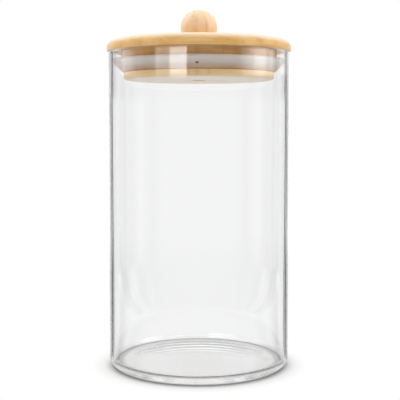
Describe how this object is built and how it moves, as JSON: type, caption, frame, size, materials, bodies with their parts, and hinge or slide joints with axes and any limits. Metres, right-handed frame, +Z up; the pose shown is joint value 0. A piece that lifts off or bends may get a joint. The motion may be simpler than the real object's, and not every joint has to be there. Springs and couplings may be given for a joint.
{
  "type": "glass storage jar",
  "caption": "Tall straight glass storage jar with a rounded heel, closed by a round bamboo lid with a plug, a soft ring seal and a wooden ball knob.",
  "frame": {"origin": "centre of the base, on the plane that the jar stands on", "axes": "+Z up along the jar's axis, towards the lid; the jar is round, so +X and +Y are free choices"},
  "size_m": [0.1008, 0.1008, 0.1964],
  "materials": {
    "glass": "clear and polished",
    "bamboo": "sanded laminated bamboo, satin",
    "silicone": "translucent white, soft",
    "beech": "sanded pale beech, satin",
    "steel": "zinc-plated"
  },
  "bodies": {
    "jar": {"glass_jar": "glass"},
    "closure": {"lid": "bamboo", "ring_seal": "silicone", "knob": "beech", "knob_screw": "steel"}
  },
  "joints": [
    {"name": "lid_lift", "type": "slide", "parent": "jar", "child": "closure", "axis": [0, 0, 1], "range_m": [0, 0.06]}
  ]
}
